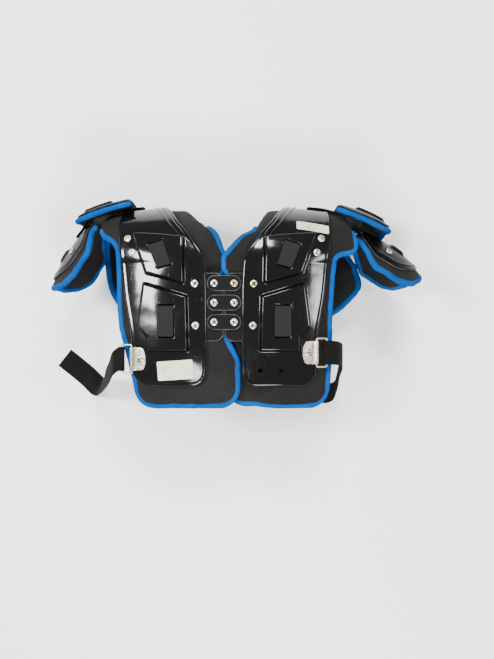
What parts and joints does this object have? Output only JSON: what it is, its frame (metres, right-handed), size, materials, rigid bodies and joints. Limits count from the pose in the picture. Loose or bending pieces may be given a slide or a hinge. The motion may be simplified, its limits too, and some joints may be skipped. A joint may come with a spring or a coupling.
{
  "type": "football shoulder pads",
  "caption": "Black football shoulder pads with blue binding, riveted spine links and an elastic strap on each side, lying on their front.",
  "frame": {"origin": "centre of the bounding box at its lowest level, on the surface that the front of the pads lies on", "axes": "+X to the wearer's right, +Y towards the neck, +Z out of the back"},
  "size_m": [0.6438, 0.3544, 0.2129],
  "materials": {
    "shell_plastic": "glossy moulded",
    "hinge_plastic": "grained",
    "black_nylon": "matte woven",
    "blue_binding": "matte knitted",
    "webbing": "woven",
    "elastic": "ribbed",
    "nickel": "worn nickel plate",
    "sticker": "satin"
  },
  "bodies": {
    "root": {"body_plate_left": "shell_plastic", "back_pad_left": "black_nylon", "back_binding_left": "blue_binding", "front_pad_left": "black_nylon", "front_binding_left": "blue_binding", "webbing_upper_left": "webbing", "webbing_lower_left": "webbing", "rivet_shoulder_outer_left": "nickel", "rivet_shoulder_inner_left": "nickel", "rivet_ear_upper_left": "nickel", "rivet_ear_lower_left": "nickel", "body_plate_right": "shell_plastic", "back_pad_right": "black_nylon", "back_binding_right": "blue_binding", "front_pad_right": "black_nylon", "front_binding_right": "blue_binding", "webbing_upper_right": "webbing", "webbing_lower_right": "webbing", "rivet_shoulder_outer_right": "nickel", "rivet_shoulder_inner_right": "nickel", "rivet_ear_upper_right": "nickel", "rivet_ear_lower_right": "nickel", "hinge_ear_left": "hinge_plastic", "hinge_ear_right": "hinge_plastic", "hinge_link_upper": "hinge_plastic", "rivet_link_upper_left": "nickel", "rivet_link_upper_right": "nickel", "hinge_link_middle": "hinge_plastic", "rivet_link_middle_left": "nickel", "rivet_link_middle_right": "nickel", "hinge_link_lower": "hinge_plastic", "rivet_link_lower_left": "nickel", "rivet_link_lower_right": "nickel", "epaulet_shell_left": "shell_plastic", "epaulet_pad_left": "black_nylon", "epaulet_binding_left": "blue_binding", "arm_flap_shell_left": "shell_plastic", "rivet_arm_flap_left": "nickel", "arm_flap_pad_left": "black_nylon", "arm_flap_binding_left": "blue_binding", "epaulet_shell_right": "shell_plastic", "epaulet_pad_right": "black_nylon", "epaulet_binding_right": "blue_binding", "arm_flap_shell_right": "shell_plastic", "rivet_arm_flap_right": "nickel", "arm_flap_pad_right": "black_nylon", "arm_flap_binding_right": "blue_binding", "clip_left": "nickel", "rivet_clip_left": "nickel", "ring_left": "nickel", "strap_left": "elastic", "clip_right": "nickel", "rivet_clip_right": "nickel", "ring_right": "nickel", "strap_right": "elastic", "flap_webbing_left": "webbing", "flap_webbing_right": "webbing", "sticker_left": "sticker", "sticker_right": "sticker", "front_closure": "shell_plastic"}
  },
  "joints": []
}
